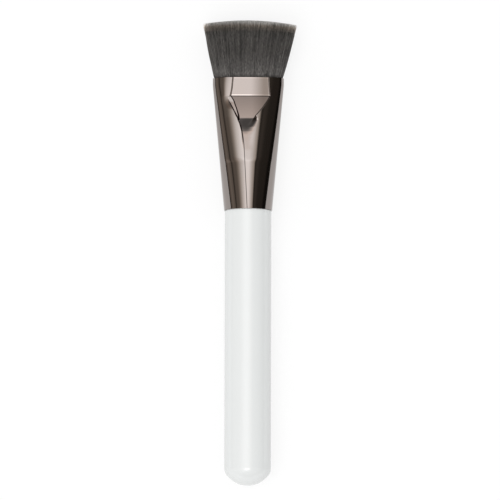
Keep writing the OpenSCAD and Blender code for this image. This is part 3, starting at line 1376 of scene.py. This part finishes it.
    def paths(
        self, batch: StrandBatch, rng: np.random.Generator
    ) -> tuple[np.ndarray, np.ndarray, np.ndarray]:
        """Works out where each strand runs.

        Args:
            batch: The strands to place.
            rng: Source of the scatter.

        Returns:
            Points of every strand, their tones and how far along the strand they are.
        """
        angle, share = self.tips(batch, rng)
        edge_x, edge_z = self.edge(angle)
        mouth_x, mouth_z = self.mouth_edge(angle, rng.normal(0, self.root_spread, batch.count))
        tip_x, tip_z = share * edge_x * (1 - 2 * self.side_trim / self.head_w), share * edge_z
        clump_tone = self.pull_into_clumps(tip_x, tip_z, rng)
        tip_x += rng.normal(0, self.tip_spread, batch.count)
        tip_z += rng.normal(0, self.tip_spread, batch.count)
        tip_h = self.tip_height(tip_x, tip_z) - np.abs(rng.normal(0, self.tip_scatter, batch.count))
        lean = math.tan(math.radians(self.lean))
        bow_x, bow_z = rng.normal(0, self.bow, (2, batch.count))
        side = batch.kind is Tuft.SIDE
        rings = np.array(self.side_rings if side else self.crown_rings)
        total = tip_h + self.root_depth
        start = 0 if side else 1 - self.crown_len / total
        travel = start + (1 - start) * rings[:, None]
        height = travel * total - self.root_depth
        risen = np.clip(height / tip_h, 0, 1)
        swell = self.swell * share * smooth_step(height / self.swell_h) * (1 - risen)
        arch = np.sin(np.pi * risen)
        ripple = self.ripple * np.sin(np.pi * (2 * risen + rng.random(batch.count))) * arch
        x = self.mix(share * mouth_x, tip_x, risen) + swell * np.cos(angle) + arch * bow_x + ripple
        z = self.mix(share * mouth_z, tip_z, risen) + swell * np.sin(angle) + arch * bow_z
        x = x + np.clip(height, 0, None) * lean
        z = np.clip(z, self.strand_d - self.head_t / 2, self.head_t / 2 - self.strand_d)
        points = np.stack([x, self.mouth_y + height, self.axis_z + z], axis=-1)
        outer = smooth_step((np.abs(tip_x) * 2 / self.head_w - self.edge_from) / self.edge_len)
        edge = outer * travel**self.edge_power
        edge = edge * (1 - self.edge_fade * smooth_step((travel - self.fade_from) / self.fade_len))
        stretch = np.sin(np.pi * (self.stretch_halves * travel + 2 * rng.random(batch.count)))
        tone = rng.normal(1, self.strand_tone, batch.count) * clump_tone * (1 + self.stretch_tone * stretch)
        return points, np.clip(tone, *self.tone_limits) * (1 + self.edge_tone * edge), travel

    def pull_into_clumps(self, x: np.ndarray, z: np.ndarray, rng: np.random.Generator) -> np.ndarray:
        """Draws tips towards the middles of small clumps, and gives each clump's tone.

        Args:
            x: Tips across the brush, moved in place.
            z: Tips through the brush, moved in place.
            rng: Source of the clumps.

        Returns:
            The tone of each tip's clump.
        """
        columns = np.round(x / self.clump_w).astype(int)
        rows = np.round(z / self.clump_w).astype(int)
        span = int(self.head_w / self.clump_w) + self.clump_margin
        shift = rng.uniform(-0.5, 0.5, (2, 2 * span, 2 * span)) * self.clump_w
        tone = rng.normal(1, self.clump_tone, (2 * span, 2 * span))
        place = (columns + span, rows + span)
        x += self.clump_pull * (columns * self.clump_w + shift[0][place] - x)
        z += self.clump_pull * (rows * self.clump_w + shift[1][place] - z)
        return tone[place]

    def batch_mesh(
        self, batch: StrandBatch, rng: np.random.Generator, finish: bpy.types.Material
    ) -> bpy.types.Object:
        """Copies one three-sided strand many times and lays each copy along its path.

        Args:
            batch: The strands to make.
            rng: Source of the scatter.
            finish: The strands' material.

        Returns:
            The piece that holds them.
        """
        rings = self.side_rings if batch.kind is Tuft.SIDE else self.crown_rings
        bm = unit_tube(3, len(rings), capped=True)
        plain = coordinates(bm)
        ring = np.round(plain[:, 2] * (len(rings) - 1)).astype(int)
        parts = [bm.verts, bm.edges, bm.faces]
        sizes = [len(part) for part in parts]
        copies = 1
        while copies < batch.count:
            more = min(copies, batch.count - copies)
            geometry = [item for part, size in zip(parts, sizes) for item in list(part)[: more * size]]
            bmesh.ops.duplicate(bm, geom=geometry)
            copies += more
        points, tone, travel = self.paths(batch, rng)
        spin = rng.random(batch.count) * math.tau
        radius = self.strand_radius(travel)
        turn = np.arctan2(plain[:, 1], plain[:, 0])[None, :] + spin[:, None]
        places = points[ring].transpose(1, 0, 2)
        reach = radius[ring].T
        places[:, :, 0] += reach * np.cos(turn)
        places[:, :, 2] += reach * np.sin(turn)
        made = mesh_object(bm, batch.name)
        made.data.vertices.foreach_set("co", (places * MM).astype(np.float32).ravel())
        for name, values in ((ALONG, np.broadcast_to(travel, points.shape[:2])), (TONE, tone)):
            attribute = made.data.attributes.new(name, "FLOAT", "POINT")
            attribute.data.foreach_set("value", values[ring].T.astype(np.float32).ravel())
        made.data.update()
        dress(made, [finish])
        return made

    def strand_radius(self, travel: np.ndarray) -> np.ndarray:
        """Radius of a strand at each share of its length, tapered to its tip."""
        taper = smooth_step((travel - self.taper_from) / (1 - self.taper_from))
        return self.mix(self.strand_d, self.tip_d, taper) / 2

    def build(self) -> list[bpy.types.Object]:
        """Makes the tuft's inside and all its strands.

        Returns:
            The finished pieces.
        """
        finish = Filament().make()
        rng = np.random.default_rng(self.seed)
        return [self.core()] + [self.batch_mesh(batch, rng, finish) for batch in self.batches]


@dataclass
class GluePlug:
    """The epoxy inside the ferrule, which keeps its CAD form."""

    def dress(self) -> bpy.types.Object:
        """Gives the plug its finish.

        Returns:
            The finished piece.
        """
        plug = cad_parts[Node.GLUE_PLUG.value]
        plug.data.materials.clear()
        plug.data.materials.append(CuredEpoxy().make())
        log.info("%s: CAD form kept", plug.name)
        return plug


@dataclass
class Studio:
    """Pale floor, soft lamp, plain sky and the camera that looks down on the brush."""

    axis_z: float
    floor_half: float = 3000.0
    fill: float = 0.72
    lamp_watts: float = 10.5
    lamp_size: float = 1100.0
    lamp_distance: float = 1600.0
    lamp_from: Colour = (-0.26, -0.30, 1.0)
    camera_azimuth: float = 0.0
    camera_elevation: float = 84.0
    camera_roll: float = 0.117
    camera_distance: float = 1500.0
    frame_width: float = 177.8
    aim_x: float = 0.7
    aim_y: float = 0.93
    sensor: float = 36.0
    clip: Span = (0.05, 20.0)

    # Brightness of the studio as polish mirrors it, by direction round the brush from straight up
    gloss_peak: float = 2.2
    gloss_round: tuple[Span, ...] = (
        (-90, 0.0), (-87, 0.02), (-84, 0.22), (-80, 0.2), (-75, 0.34), (-68, 0.28), (-60, 0.2), (-58, 0.0),
        (-56, 0.1), (-50, 0.22), (-42, 0.22), (-38, 0.31), (-34, 0.48), (-30, 0.75), (-22, 1.4), (-14, 1.9),
        (-10, 2.1), (2, 2.08), (10, 1.36), (14, 1.0), (18.5, 0.72), (20.4, 0.33),
        (21.8, 0.03), (28, 0.07), (33, 0.06), (40, 0.035), (65, 0.03), (75, 0.0), (88, 0.01),
    )
    # The same by direction along the brush, as a share, where positive is towards the tips, and its warmth
    gloss_along: tuple[tuple[float, float, float], ...] = (
        (-90, 0.1, 0), (-45, 0.15, 0), (-35, 0.9, 0), (-25, 1.4, 0), (-8, 1.4, 0.3), (-2, 1.1, 0.4),
        (3, 0.97, 0.4), (13.5, 0.98, 0.2), (17, 1.16, 0), (19, 1.14, 0), (20, 0.95, 0), (21, 0.77, 0.5),
        (22, 0.78, 1), (23.2, 0.64, 1), (24.5, 0.48, 1), (27, 0.28, 0.5), (30, 0.13, 0), (34, 0.08, 0),
        (38, 0.09, 0), (46, 0.16, 0), (54, 0.18, 0), (62, 0.1, 0), (90, 0.1, 0),
    )
    gloss_along_peak: float = 1.5
    gloss_warm: Colour = (1.11, 1.0, 0.94)
    gloss_dim: Colour = (0.012, 0.0105, 0.009)
    dark_tint: Colour = (1.14, 1.0, 0.84)
    gloss_neutral: float = 1.6
    spot_round: float = -2.0
    spot_along: float = -21.0
    spot_half: float = 13.0
    spot_strength: float = 5.5

    def floor(self) -> None:
        """Lays the floor."""
        bm = bmesh.new()
        bmesh.ops.create_grid(bm, x_segments=2, y_segments=2, size=self.floor_half)
        made = mesh_object(bm, "pale_floor")
        made.data.materials.append(PaleFloor().make())

    def lamp(self) -> None:
        """Hangs the soft lamp, which polish doesn't mirror."""
        light = bpy.data.lights.new("soft_lamp", "AREA")
        light.energy = self.lamp_watts
        light.shape = "SQUARE"
        light.size = self.lamp_size * MM
        lamp = bpy.data.objects.new("soft_lamp", light)
        away = Vector(self.lamp_from).normalized()
        lamp.location = away * self.lamp_distance * MM
        lamp.rotation_euler = away.to_track_quat("Z", "Y").to_euler()
        lamp.visible_glossy = False
        bpy.context.scene.collection.objects.link(lamp)

    def sky(self) -> None:
        """Sets the even sky, and the soft boxes and dark cards that only gloss shows."""
        world = bpy.data.worlds.new("studio")
        world.use_nodes = True
        bpy.context.scene.world = world
        sheet = ShaderSheet(world.node_tree)
        peak = self.gloss_peak * self.gloss_along_peak
        direction = sheet.node("ShaderNodeTexCoord").outputs["Generated"]
        axes = sheet.node("ShaderNodeSeparateXYZ")
        sheet.join(direction, axes.inputs[0])
        round_turn = sheet.maths("ARCTAN2", axes.outputs["X"], axes.outputs["Z"])
        round_share = sheet.maths("MULTIPLY_ADD", round_turn, 1 / math.tau, 0.5)
        along_share = sheet.maths("MULTIPLY_ADD", axes.outputs["Y"], 0.5, 0.5)
        strips = sheet.ramp(round_share, [self.round_stop(*stop) for stop in self.gloss_round])
        ends = [
            (
                0.5 + math.sin(math.radians(angle)) / 2,
                tuple(share / self.gloss_along_peak * (1 + warmth * (part - 1)) for part in self.gloss_warm),
            )
            for angle, share, warmth in self.gloss_along
        ]
        mirrored = sheet.blend(1.0, strips, sheet.ramp(along_share, ends), "MULTIPLY")
        mirrored = sheet.blend(1.0, mirrored, tuple(part / peak for part in self.gloss_dim), "ADD")
        spot = sheet.node("ShaderNodeVectorMath", operation="DOT_PRODUCT")
        turn, rise = math.radians(self.spot_round), math.radians(self.spot_along)
        spot.inputs[1].default_value = (
            math.sin(turn) * math.cos(rise), math.sin(rise), math.cos(turn) * math.cos(rise)
        )
        sheet.join(direction, spot.inputs[0])
        edge = math.cos(math.radians(self.spot_half))
        glow = sheet.remap(spot.outputs["Value"], (edge, 1.0), (0.0, self.spot_strength / peak))
        mirrored = sheet.blend(1.0, mirrored, glow, "ADD")
        path = sheet.node("ShaderNodeLightPath").outputs
        gloss = sheet.node("ShaderNodeBackground")
        sheet.join(mirrored, gloss.inputs["Color"])
        gloss.inputs["Strength"].default_value = peak
        plain = sheet.node("ShaderNodeBackground")
        plain.inputs["Color"].default_value = (1, 1, 1, 1)
        sheet.join(sheet.remap(path["Is Camera Ray"], (0, 1), (self.fill, 1.0)), plain.inputs["Strength"])
        pick = sheet.node("ShaderNodeMixShader")
        sheet.join(path["Is Glossy Ray"], pick.inputs[0])
        sheet.join(plain.outputs[0], pick.inputs[1])
        sheet.join(gloss.outputs[0], pick.inputs[2])
        sheet.join(pick.outputs[0], sheet.node("ShaderNodeOutputWorld").inputs["Surface"])

    def round_stop(self, angle: float, level: float) -> Stop:
        """One stop of the strips round the brush, tinted warm where the studio is dim.

        Args:
            angle: Direction from straight up, where positive is to the right.
            level: Brightness.

        Returns:
            The stop's place and colour.
        """
        warmth = 1 - min(1, level / self.gloss_neutral)
        tint = [1 + warmth * (part - 1) for part in self.dark_tint]
        return angle / 360 + 0.5, tuple(level / self.gloss_peak * part for part in tint)

    def camera(self) -> None:
        """Sets the camera at the photograph's angle."""
        azimuth, elevation = math.radians(self.camera_azimuth), math.radians(self.camera_elevation)
        level = math.cos(elevation)
        away = Vector((math.sin(azimuth) * level, -math.cos(azimuth) * level, math.sin(elevation)))
        data = bpy.data.cameras.new("camera")
        data.sensor_width = self.sensor
        data.lens = self.sensor * self.camera_distance / self.frame_width
        data.clip_start, data.clip_end = self.clip
        camera = bpy.data.objects.new("camera", data)
        aim = Vector((self.aim_x, self.aim_y, self.axis_z))
        camera.location = (aim + away * self.camera_distance) * MM
        roll = Matrix.Rotation(math.radians(self.camera_roll), 3, "Z")
        camera.rotation_euler = (away.to_track_quat("Z", "Y").to_matrix() @ roll).to_euler()
        bpy.context.scene.collection.objects.link(camera)
        bpy.context.scene.camera = camera

    def build(self) -> None:
        """Sets up the whole studio."""
        self.floor()
        self.lamp()
        self.sky()
        self.camera()
        bpy.context.scene.view_settings.view_transform = "Standard"
        log.info("studio: floor, lamp, sky and camera")


def main() -> None:
    """Builds the brush and its studio round the frame."""
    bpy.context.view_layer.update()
    ferrule = Ferrule.from_frame()
    Studio(axis_z=ferrule.axis_z).build()
    Handle.from_frame().build()
    ferrule.build()
    GluePlug().dress()
    BristleHead.from_frame(ferrule).build()


if __name__ == "__main__":
    main()
